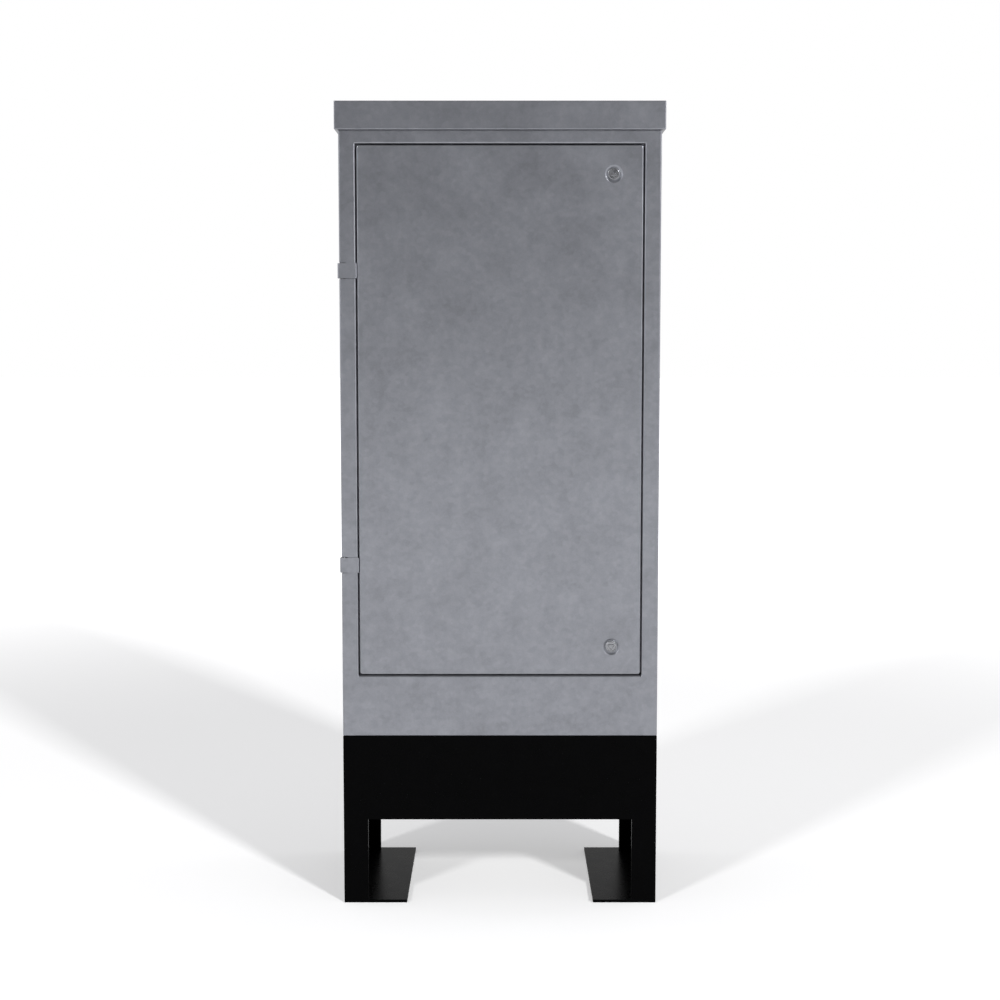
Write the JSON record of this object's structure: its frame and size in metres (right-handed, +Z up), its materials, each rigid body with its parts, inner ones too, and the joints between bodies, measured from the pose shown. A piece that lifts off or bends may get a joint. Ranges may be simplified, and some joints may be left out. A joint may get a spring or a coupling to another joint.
{
  "type": "feeder pillar",
  "caption": "Free-standing galvanised steel cabinet with a hooded roof, a flush hinged door with quarter-turn locks, and a black root with foot flanges.",
  "frame": {"origin": "on the ground under the middle of the pillar", "axes": "+Z up, -Y towards the front with the door, +X to the right of somebody who looks at the door"},
  "size_m": [0.614, 0.354, 1.52],
  "materials": {
    "galvanised_steel": "mottled hot-dip zinc, satin",
    "black_root_paint": "satin black paint",
    "plywood": "bare veneer",
    "seal_foam": "matt foam strip",
    "zinc_fasteners": "bright zinc plate",
    "lock_steel": "satin"
  },
  "bodies": {
    "pillar": {"body_shell": "galvanised_steel", "rear_panel": "galvanised_steel", "roof_hood": "galvanised_steel", "roof_studs": "zinc_fasteners", "roof_washers": "zinc_fasteners", "roof_nuts": "zinc_fasteners", "root_left_side": "black_root_paint", "root_right_side": "black_root_paint", "root_front_panel": "black_root_paint", "root_rear_panel": "black_root_paint", "root_bolts": "zinc_fasteners", "root_washers": "zinc_fasteners", "root_nuts": "zinc_fasteners", "backboard": "plywood", "backboard_rail_lower": "galvanised_steel", "backboard_rail_upper": "galvanised_steel", "board_bolts": "zinc_fasteners", "board_washers": "zinc_fasteners", "board_nuts": "zinc_fasteners", "cabinet_earth_stud": "zinc_fasteners", "cabinet_earth_washer": "zinc_fasteners", "cabinet_earth_nut": "zinc_fasteners", "upper_hinge_bracket": "galvanised_steel", "lower_hinge_bracket": "galvanised_steel", "upper_hinge_pin": "zinc_fasteners", "lower_hinge_pin": "zinc_fasteners"},
    "door": {"door_panel": "galvanised_steel", "door_stiffener": "galvanised_steel", "door_seal": "seal_foam", "upper_hinge_strap": "galvanised_steel", "lower_hinge_strap": "galvanised_steel", "door_earth_stud": "zinc_fasteners", "door_earth_washer": "zinc_fasteners", "door_earth_nut": "zinc_fasteners", "upper_lock_housing": "lock_steel", "lower_lock_housing": "lock_steel", "upper_lock_nut": "lock_steel", "lower_lock_nut": "lock_steel"},
    "upper_lock": {"upper_lock_spindle": "lock_steel", "upper_lock_cam": "lock_steel", "upper_cam_nut": "lock_steel"},
    "lower_lock": {"lower_lock_spindle": "lock_steel", "lower_lock_cam": "lock_steel", "lower_cam_nut": "lock_steel"}
  },
  "joints": [
    {"name": "door_hinge", "type": "hinge", "parent": "pillar", "child": "door", "pos_m": [-0.294, -0.164, 0.9425], "axis": [0, 0, -1], "range_deg": [0, 120]},
    {"name": "upper_lock_turn", "type": "hinge", "parent": "door", "child": "upper_lock", "pos_m": [0.2115, -0.15, 1.3873], "axis": [0, -1, 0], "range_deg": [0, 90]},
    {"name": "lower_lock_turn", "type": "hinge", "parent": "door", "child": "lower_lock", "pos_m": [0.2115, -0.15, 0.4999], "axis": [0, 1, 0], "range_deg": [0, 90]}
  ]
}
